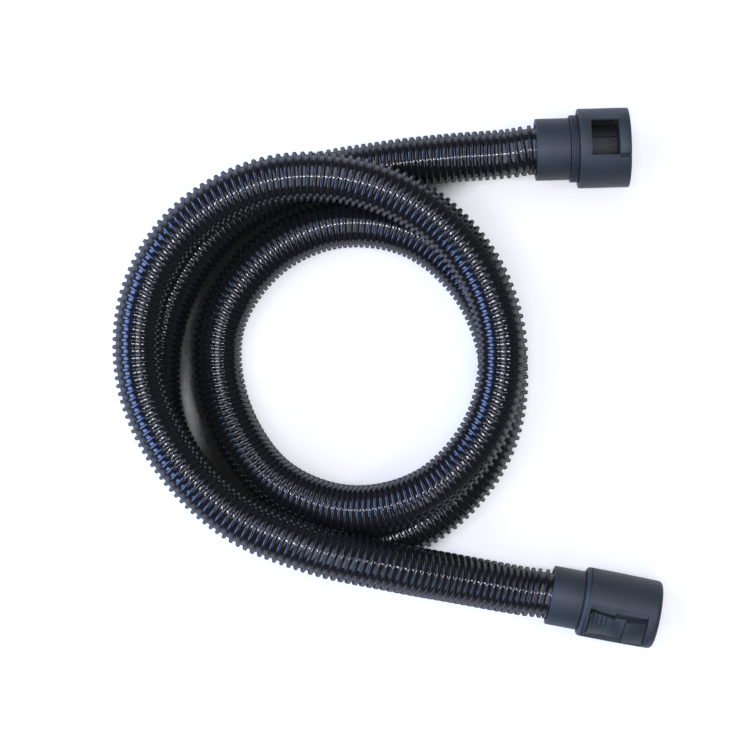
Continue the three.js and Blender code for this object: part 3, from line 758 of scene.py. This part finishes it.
def drum(settings):
    """The wide drum on its hub, with a window, a key notch and a raised band on each of two sides."""
    radius = settings.drum_radius / MM
    start, end = DRUM["start"], DRUM["end"]
    bore, mouth_bore, mouth = radius - DRUM["wall"], radius - DRUM["mouth_wall"], end - DRUM["mouth"]
    hub_bore, washer_seat = SOCKET_NECK["journal"] + SEAT, start + DRUM["washer_depth"]
    lead, lead_out = DRUM["lead"]
    piece = turned(eased([
        (start, radius), (end, radius), (end, mouth_bore + lead_out), (end - lead, mouth_bore),
        (mouth, mouth_bore), (mouth, bore), (start + DRUM["back"], bore), (start + DRUM["back"], DRUM["hub"]),
        (SOCKET_NECK["hub_end"], DRUM["hub"]), (SOCKET_NECK["hub_end"], hub_bore), (washer_seat, hub_bore),
        (washer_seat, DRUM["washer"]), (start, DRUM["washer"])], DRUM["round"]))

    band = turned([(end - back, radius + out) for back, out in BAND_SECTION])
    combine(band, wedge(*BAND_ANGLES, 0, end + OUTSIDE), "INTERSECT")
    combine_round(piece, band, "UNION", 180, 0)
    half = WINDOW["half_width"]
    window = block((WINDOW["start"], WINDOW["end"]), (-half, half), (-BEYOND, BEYOND))
    combine(piece, window, "DIFFERENCE")
    notch = block((WINDOW["end"] - NOTCH["run_out"], end + OUTSIDE), (NOTCH["far"], NOTCH["near"]),
                  (NOTCH["floor"], BEYOND))
    combine_round(piece, notch, "DIFFERENCE", 180, 0)
    return piece


def spigot(settings):
    """The socket's air tube: bulkhead, guide ribs, and the spigot that a tool's tube slides over."""
    start, radius, rear, end = SPIGOT["start"], SPIGOT["radius"], SPIGOT["rear"], SPIGOT["end"]
    bulkhead, bulkhead_end = SPIGOT["bulkhead"]
    groove, groove_end = SPIGOT["groove"]
    root = radius - SPIGOT["root"]
    edge = settings.drum_radius / MM - DRUM["wall"] - SEAT
    piece = turned(eased([
        (start, AIR_BORE), (start, rear), (bulkhead, rear), (bulkhead, edge), (bulkhead_end, edge),
        (bulkhead_end, radius), (groove, radius), (groove, SPIGOT["groove_radius"]),
        (groove_end, SPIGOT["groove_radius"]), (groove_end, radius), (end, radius), (end, AIR_BORE),
    ], MOULDED_ROUND))
    tip_at, tip, half = LUG["start"], LUG["tip"], LUG["half"]
    wide_at, lug_end = tip_at + LUG["lead"], LUG["end"]
    lug = prism([
        (tip_at, -tip), (wide_at, -half), (lug_end, -half), (lug_end, half), (wide_at, half), (tip_at, tip),
    ], root, LUG["reach"])
    combine_round(piece, lug, "UNION", *(side - degrees for degrees in LUG["degrees"] for side in (180, 0)))
    rib = block((bulkhead_end - INTO, groove - RIB["set_back"]), (-RIB["half"], RIB["half"]),
                (root, RIB["reach"]))
    combine_round(piece, rib, "UNION", *(RIB["turn"] + 360 / RIB["count"] * i for i in range(RIB["count"])))
    return piece


def spigot_seal():
    """The rubber ring in the spigot's groove: a round cord with a fine moulding flash round it."""
    groove, groove_end = SPIGOT["groove"]
    middle, centre = (groove + groove_end) / 2, SPIGOT["groove_radius"] + SEAT + RING["cord"]
    flash = [(middle + side, centre + RING["flash"]) for side in (RING["flash_half"], -RING["flash_half"])]
    return turned([*quarter_round(middle, centre, RING["cord"], -270, 82, 22), *flash])


class VACUUM_HOSE_OT_socket(bpy.types.Operator):
    """Model the collar, drum, spigot and seal of the socket coupling"""

    bl_idname = "vacuum_hose.socket"
    bl_label = "Socket coupling"

    def execute(self, context):
        settings = context.scene.vacuum_hose_couplings
        abs_shell, inner = moulded_abs(settings), moulded_polypropylene(settings)
        place, edge = SOCKET_PLACE, settings.edge
        dress(lay(ringed_collar(), "socket_collar_moulding", place), abs_shell,
              "hose_line", "coupling_plastic", "socket_collar")
        dress(lay(drum(settings), "socket_drum_moulding", place, edge), abs_shell,
              "socket_shell", "coupling_plastic", "socket_drum")
        dress(lay(spigot(settings), "socket_spigot_moulding", place, edge * SPIGOT["edge_share"]), inner,
              "socket_shell", "inner_plastic", "socket_spigot")
        dress(lay(spigot_seal(), "socket_spigot_rubber_ring", place), moulded_nitrile(settings),
              "socket_shell", "seal_rubber", "socket_spigot_seal")
        return {"FINISHED"}


# --- The plug coupling ---

BARREL = {"start": 28.2, "end": 95.8, "wall": 3, "mouth_radius": 30, "taper": 60, "shoulder": 2.9, "round": 4,
          "front_wall": 4.2, "washer": 26.9, "washer_depth": 0.7, "groove": (31.5, 32.4), "groove_depth": 0.9,
          "chamfer": 0.4, "relief": 0.2, "skin": 1.5, "edge_share": 0.75}
BAY = {"start": 34.2, "end": 85.8, "floor": 22.2, "half_width": 14.9, "wall": 2.5, "ledge": 1.8,
       "lap": (0.8, 0.4), "side": [(37, 14.9), (40, 14), (45, 12.8), (51, 12), (57.3, 11.8), (57.3, 16)]}
LINER = {"start": 27.8, "rear": 20, "front": 23.3, "front_bore": 21.2, "cone": (54, 60), "end": 95.3,
         "lead": (1.5, 0.8), "round": 0.5}
PIP = {"along": 36, "degrees": 74, "radius": 1.6, "proud": 0.8}
SPRING = {"along": 44, "start": 20.3, "end": 24.3, "radius": 2.75, "wire": 0.25, "turns": 3, "narrowing": 0.6}
PIVOT = {"along": 87.6, "height": 21.7, "hole": 1.65, "trunnion": 1.3, "reach": 17, "boss": (2.7, 2.4, 0.8)}
LEVER = {"arm_start": 81.4, "arm": (11.8, 13.4), "arm_height": (21, 23), "edge_share": 0.6,
         "side": [(35, 11.4), (35.7, 12.7), (37.4, 13.2), (40, 12.9), (45, 11.8), (51, 11.1), (57.4, 10.7),
                  (58.2, 11.9), (70, 12.2), (85.4, 13)]}
# The lever's section: the lip and dish of its press pad, with a finger rib at three places, its web, the
# narrow seam and the step up to the catch, its front, and back along its inside.
PAD_RIBS = {"along": (41, 45, 49), "foot": 1.1, "radius": 0.6, "height": 27.3}
LEVER_REAR = [(35, 27.9), (35.3, 28.6), (35.9, 28.9), (36.8, 28.8), (38.4, 27.6)]
LEVER_FRONT = [(52, 27.7), (54.4, 28.8), (55.8, 28.7), (57.4, 28.3), (66.1, 28.2), (66.2, 27.2), (67.1, 27.2),
               (67.4, 31.1), (67.7, 31.4), (68.1, 31.5), (71, 31.2), (84.7, 29.8), (85.4, 29.2)]
LEVER_INSIDE = [(85.4, 26), (71, 26.5), (67, 25.8), (55, 25.8), (51, 24.8), (38, 24.8), (36, 26), (35, 26.4)]


def barrel(settings):
    """The barrel: rounded shoulder and mouth, and on two sides the flat, walled bay of a latch lever."""
    radius, start, end = settings.barrel_radius / MM, BARREL["start"], BARREL["end"]
    front, bore = end - BARREL["front_wall"], radius - BARREL["wall"]
    hub_bore, hub_end, liner = PLUG_NECK["journal"] + SEAT, PLUG_NECK["hub_end"], LINER["front"] + SEAT
    (groove, groove_end), groove_floor = BARREL["groove"], radius - BARREL["groove_depth"]
    floor, ledge = BAY["floor"], BAY["floor"] - BAY["ledge"]
    shoulder, mouth_round, mouth = BARREL["shoulder"], BARREL["round"], BARREL["mouth_radius"]
    chamfer, washer_seat = BARREL["chamfer"], start + BARREL["washer_depth"]
    piece = turned([
        *quarter_round(start + shoulder, radius - shoulder, shoulder, 180, 90),
        (groove, radius), (groove, groove_floor), (groove_end, groove_floor), (groove_end, radius),
        (BARREL["taper"], radius),
        *quarter_round(end - mouth_round, mouth - mouth_round, mouth_round, 90, 0),
        (end, liner + chamfer), (end - chamfer, liner), (front, liner), (front, bore - BARREL["relief"]),
        (hub_end, bore), (hub_end, hub_bore), (washer_seat, hub_bore), (washer_seat, BARREL["washer"]),
        (start, BARREL["washer"])])

    # The side walls of a bay, and the bosses for the lever's trunnions.
    inside, outside = BAY["half_width"], BAY["half_width"] + BAY["wall"]
    lap_back, lap_up = BAY["lap"]
    boss_back, boss_half, boss_out = PIVOT["boss"]
    pivot, height = PIVOT["along"], PIVOT["height"]
    wall = block((BAY["start"] - lap_back, front + INTO), (inside, outside), (ledge, floor + lap_up))
    combine(wall, prism(BAY["side"], ledge, floor + lap_up), "UNION")
    boss = block((pivot - boss_back, front + INTO), (inside, outside + boss_out),
                 (height - boss_half, height + boss_half))
    combine(wall, boss, "UNION")
    skin = radius - BARREL["skin"]
    combine(wall, turned([(0, 1), (end, 1), (end, skin), (0, skin)]), "INTERSECT")
    combine_round(piece, copy_mirrored(wall), "UNION", 180, 0)
    combine_round(piece, wall, "UNION", 180, 0)
    bay = block((BAY["start"], BAY["end"]), (-BEYOND, BEYOND), (floor, BEYOND))
    combine_round(piece, bay, "DIFFERENCE", 180, 0)
    hole = cross_rod(pivot, height, PIVOT["hole"], -outside, outside)
    combine_round(piece, hole, "DIFFERENCE", 180, 0)

    deselect_all()
    bpy.ops.mesh.primitive_uv_sphere_add(
        segments=24, ring_count=12, radius=PIP["radius"] * MM,
        location=(PIP["along"] * MM, 0, (radius - PIP["radius"] + PIP["proud"]) * MM))
    combine_round(piece, settled(), "UNION", -PIP["degrees"])
    return piece


def liner():
    """The air tube through the plug: narrow in the journal, wide at the mouth."""
    cone, cone_end = LINER["cone"]
    lead, lead_out = LINER["lead"]
    start, front, rear, bore, end = (LINER[name] for name in ("start", "front", "rear", "front_bore", "end"))
    return turned(eased([
        (start, AIR_BORE), (start, rear), (cone, rear), (cone_end, front), (end, front),
        (end, bore + lead_out), (end - lead, bore), (cone_end, bore), (cone, AIR_BORE)], LINER["round"]))


def latch_lever():
    """One lever: a dished press pad with finger ribs, a web, a stepped catch and two arms with trunnions."""
    foot, height = PAD_RIBS["foot"], PAD_RIBS["height"]
    ribs = []
    for along in PAD_RIBS["along"]:
        crown = quarter_round(along, height, PAD_RIBS["radius"], 150, 30, 4)
        ribs += [(along - foot, height), *crown, (along + foot, height)]
    profile = [*LEVER_REAR, *ribs, *LEVER_FRONT, *LEVER_INSIDE]
    lever = turned(profile, 2 * TURN_STEPS)
    near = [(along, -side) for along, side in LEVER["side"]]
    combine(lever, prism(near + LEVER["side"][::-1], 1, BEYOND), "INTERSECT")

    (arm_inside, arm_outside), (arm_bottom, arm_top) = LEVER["arm"], LEVER["arm_height"]
    pivot, height = PIVOT["along"], PIVOT["height"]
    arm = block((LEVER["arm_start"], pivot), (arm_inside, arm_outside), (arm_bottom, arm_top))
    combine(arm, cross_rod(pivot, height, arm_top - height, arm_inside, arm_outside), "UNION")
    combine(arm, cross_rod(pivot, height, PIVOT["trunnion"], arm_inside, PIVOT["reach"]), "UNION")
    combine(lever, copy_mirrored(arm), "UNION")
    combine(lever, arm, "UNION")
    return lever


def pad_spring():
    """The spring under a press pad: it narrows upwards, so that its turns nest when the pad is pressed."""
    deselect_all()
    bpy.ops.mesh.primitive_circle_add(
        vertices=8, radius=SPRING["wire"] * MM, location=(SPRING["radius"] * MM, 0, 0),
        rotation=(math.pi / 2, 0, 0))
    piece = settled()
    rise = (SPRING["end"] - SPRING["start"]) * MM
    modifier = piece.modifiers.new("coil", "SCREW")
    modifier.axis = "Z"
    modifier.iterations = SPRING["turns"]
    modifier.screw_offset = rise / SPRING["turns"]
    modifier.steps = 24
    modifier.render_steps = 24
    bpy.ops.object.modifier_apply(modifier=modifier.name)
    bpy.ops.object.mode_set(mode="EDIT")
    bpy.ops.mesh.select_all(action="SELECT")
    bpy.ops.mesh.fill_holes(sides=0)
    close_mesh()
    for vertex in piece.data.vertices:
        narrow = 1 - SPRING["narrowing"] * vertex.co.z / rise
        vertex.co = (SPRING["along"] * MM + vertex.co.x * narrow, vertex.co.y * narrow,
                     vertex.co.z + SPRING["start"] * MM)
    return piece


class VACUUM_HOSE_OT_plug(bpy.types.Operator):
    """Model the barrel, liner, latch levers and springs of the plug coupling"""

    bl_idname = "vacuum_hose.plug"
    bl_label = "Plug coupling"

    def execute(self, context):
        settings = context.scene.vacuum_hose_couplings
        abs_shell, inner = moulded_abs(settings), moulded_polypropylene(settings)
        place, edge = PLUG_PLACE, settings.edge
        dress(lay(barrel(settings), "plug_barrel_moulding", place, edge * BARREL["edge_share"]), abs_shell,
              "plug_shell", "coupling_plastic", "plug_barrel")
        dress(lay(liner(), "plug_liner_moulding", place), inner, "plug_shell", "inner_plastic", "plug_liner")
        upper = latch_lever()
        lower = copy_turned(upper, 180)
        for piece, side in ((upper, "upper"), (lower, "lower")):
            lay(piece, f"lever_{side}_moulding", place, edge * LEVER["edge_share"])
            dress(piece, abs_shell, f"{side}_latch", "coupling_plastic", f"latch_lever_{side}")
        steel = drawn_spring_steel(settings)
        first_spring = pad_spring()
        for piece, side, way in ((first_spring, "upper", 1), (copy_turned(first_spring, 180), "lower", -1)):
            lay(piece, f"pad_spring_{side}", place)
            dress(piece, steel, "plug_shell", "spring_steel", f"latch_spring_{side}")
            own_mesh(piece)
        return {"FINISHED"}


class VACUUM_HOSE_OT_inner_parts(bpy.types.Operator):
    """Give the sleeves, slide rings, snap rings and seals inside the couplings their materials"""

    bl_idname = "vacuum_hose.inner_parts"
    bl_label = "Inner parts"

    def execute(self, context):
        settings = context.scene.vacuum_hose_couplings
        polypropylene = moulded_polypropylene(settings)
        for part, material in (
                ("hose_sleeve", polypropylene), ("slide_ring", polypropylene),
                ("lip_seal", moulded_nitrile(settings)), ("snap_ring", drawn_spring_steel(settings))):
            for end in ("socket", "plug"):
                slots = frame["nodes"][f"{end}_{part}"].data.materials
                slots.clear()
                slots.append(material)
        return {"FINISHED"}


# --- Camera, lamps and floor ---

# All in metres. A lamp's size is its length along +Y and its width across that.
MIDDLE = (-0.22, 0, 0)          # the place on the floor that every lamp shines on
CEILING = 2.4                   # height of the overhead lamps
WINDOW_LAMP = {"place": (-2.6, 0, 1.25), "size": (3.4, 1.1), "radiance": 15.0}
PAINTED_SHADE_REACH = 0.13                     # how near something has to be to darken the paper's colour and glow, as painted shade
GLOW = 0.4                      # light of its own that the paper shows to the camera
FLOOR_SIZE = 60


def backdrop_white(settings):
    """Seamless studio paper, matt: it reads white round the object, keeps its soft shadow from the lamps, and
    is painted dark as shade where it is closely hemmed in.
    """
    material = blank_material("studio_paper_white")
    # Deep between two turns of the hose, the paper's colour and glow are painted down towards black by how
    # enclosed it is: painted shade.
    open_air = add_node(material, "ShaderNodeAmbientOcclusion", {"Distance": PAINTED_SHADE_REACH}, samples=32)
    painted_daylight = add_node(material, "ShaderNodeMapRange", {
        "Value": open_air.outputs["AO"], "From Min": 0.2, "From Max": 0.34, "To Min": 0.015, "To Max": 1.0})
    tone = add_node(material, "ShaderNodeMix", {
        "Factor": painted_daylight.outputs["Result"], "A": (0, 0, 0, 1), "B": linear(settings.floor_colour),
    }, data_type="RGBA")
    rays = add_node(material, "ShaderNodeLightPath")
    seen = add_node(material, "ShaderNodeMath", {
        0: rays.outputs["Is Camera Ray"], 1: rays.outputs["Is Glossy Ray"]}, operation="MAXIMUM")
    shown = add_node(material, "ShaderNodeMath", {
        0: seen.outputs["Value"], 1: rays.outputs["Is Transmission Ray"]}, operation="MAXIMUM")
    lift = add_node(material, "ShaderNodeMath", {0: shown.outputs["Value"], 1: GLOW}, operation="MULTIPLY")
    kept = add_node(material, "ShaderNodeMath", {
        0: lift.outputs["Value"], 1: painted_daylight.outputs["Result"]}, operation="MULTIPLY")
    paper = add_node(material, "ShaderNodeBsdfDiffuse", {"Color": tone.outputs["Result"]})
    glow = add_node(material, "ShaderNodeEmission", {"Strength": kept.outputs["Value"]})
    both = add_node(material, "ShaderNodeAddShader", {0: paper.outputs["BSDF"], 1: glow.outputs["Emission"]})
    add_node(material, "ShaderNodeOutputMaterial", {"Surface": both.outputs["Shader"]})
    return material


def add_lamp(name, place, size, radiance, colour):
    """A rectangular area lamp that shines on the middle of the hose."""
    lamp = bpy.data.lights.new(name, "AREA")
    lamp.shape = "RECTANGLE"
    lamp.size, lamp.size_y = size
    lamp.energy = radiance * math.pi * size[0] * size[1]
    lamp.color = linear(colour)[:3]
    item = bpy.data.objects.new(name, lamp)
    item.location = place
    item.rotation_euler = (Vector(MIDDLE) - Vector(place)).to_track_quat("-Z", "Y").to_euler()
    bpy.context.scene.collection.objects.link(item)


class VACUUM_HOSE_OT_stage(bpy.types.Operator):
    """Set up the camera, the lamps, the world and the floor"""

    bl_idname = "vacuum_hose.stage"
    bl_label = "Stage"

    def execute(self, context):
        settings = context.scene.vacuum_hose_stage
        scene = context.scene
        scene.view_settings.view_transform = "Standard"

        camera = bpy.data.cameras.new("camera_above")
        camera.sensor_width = 36
        camera.lens = camera.sensor_width * settings.focal_share
        holder = bpy.data.objects.new("camera_above", camera)
        holder.location = settings.camera_place
        scene.collection.objects.link(holder)
        scene.camera = holder

        deselect_all()
        bpy.ops.mesh.primitive_plane_add(size=FLOOR_SIZE, location=(0, 0, 0))
        floor = context.object
        floor.name = "floor"
        floor.data.materials.append(backdrop_white(settings))

        # The angles are from the zenith as seen from the middle of the hose, towards +X.
        for name, angle, size, radiance, colour in (
                ("ceiling", 2.5, (6.5, 0.95), 3.7, settings.ceiling_colour),
                ("panel_left", -21, (0.1, 0.6), 55.0, settings.panel_colour),
                ("panel_middle", -1, (0.1, 0.6), 70.0, settings.panel_colour),
                ("panel_right", 28, (0.14, 0.6), 45.0, settings.panel_colour)):
            across = CEILING * math.tan(math.radians(angle))
            add_lamp(name, (MIDDLE[0] + across, 0, CEILING), size, radiance, colour)
        add_lamp("window", colour=settings.window_colour, **WINDOW_LAMP)

        # The room's own light is strongest at the horizon.
        world = bpy.data.worlds.new("studio_air")
        scene.world = world
        world.use_nodes = True
        world.node_tree.nodes.clear()
        coords = add_node(world, "ShaderNodeTexCoord")
        height = add_node(world, "ShaderNodeSeparateXYZ", {"Vector": coords.outputs["Generated"]})
        level = add_node(world, "ShaderNodeMapRange", {
            "Value": height.outputs["Z"], "From Min": 0.0, "From Max": 0.5, "To Min": 0.32, "To Max": 0.1})
        air = add_node(world, "ShaderNodeBackground", {"Strength": level.outputs["Result"]})
        add_node(world, "ShaderNodeOutputWorld", {"Surface": air.outputs["Background"]})
        return {"FINISHED"}


COUPLING_OPERATORS = (
    VACUUM_HOSE_OT_necks, VACUUM_HOSE_OT_socket, VACUUM_HOSE_OT_plug, VACUUM_HOSE_OT_inner_parts)


class VACUUM_HOSE_PT_build(bpy.types.Panel):
    """Lists the hose's pieces and settings"""

    bl_label = "Vacuum Hose"
    bl_idname = "VACUUM_HOSE_PT_build"
    bl_space_type = "VIEW_3D"
    bl_region_type = "UI"
    bl_category = "Vacuum Hose"

    def draw(self, context):
        for title, settings, operators in (
                ("Hose", context.scene.vacuum_hose_hose, (VACUUM_HOSE_OT_hose,)),
                ("Couplings", context.scene.vacuum_hose_couplings, COUPLING_OPERATORS),
                ("Stage", context.scene.vacuum_hose_stage, (VACUUM_HOSE_OT_stage,))):
            box = self.layout.box()
            box.label(text=title)
            for name in settings.__annotations__:
                box.prop(settings, name)
            for operator in operators:
                box.operator(operator.bl_idname)


CLASSES = (HoseSettings, CouplingSettings, StageSettings, VACUUM_HOSE_OT_hose, *COUPLING_OPERATORS,
           VACUUM_HOSE_OT_stage, VACUUM_HOSE_PT_build)


def register():
    for item in CLASSES:
        bpy.utils.register_class(item)
    bpy.types.Scene.vacuum_hose_hose = PointerProperty(type=HoseSettings)
    bpy.types.Scene.vacuum_hose_couplings = PointerProperty(type=CouplingSettings)
    bpy.types.Scene.vacuum_hose_stage = PointerProperty(type=StageSettings)


def unregister():
    del bpy.types.Scene.vacuum_hose_stage
    del bpy.types.Scene.vacuum_hose_couplings
    del bpy.types.Scene.vacuum_hose_hose
    for item in reversed(CLASSES):
        bpy.utils.unregister_class(item)


def main():
    register()
    bpy.ops.vacuum_hose.stage()
    bpy.ops.vacuum_hose.hose()
    bpy.ops.vacuum_hose.necks()
    bpy.ops.vacuum_hose.socket()
    bpy.ops.vacuum_hose.plug()
    bpy.ops.vacuum_hose.inner_parts()


if __name__ == "__main__":
    main()
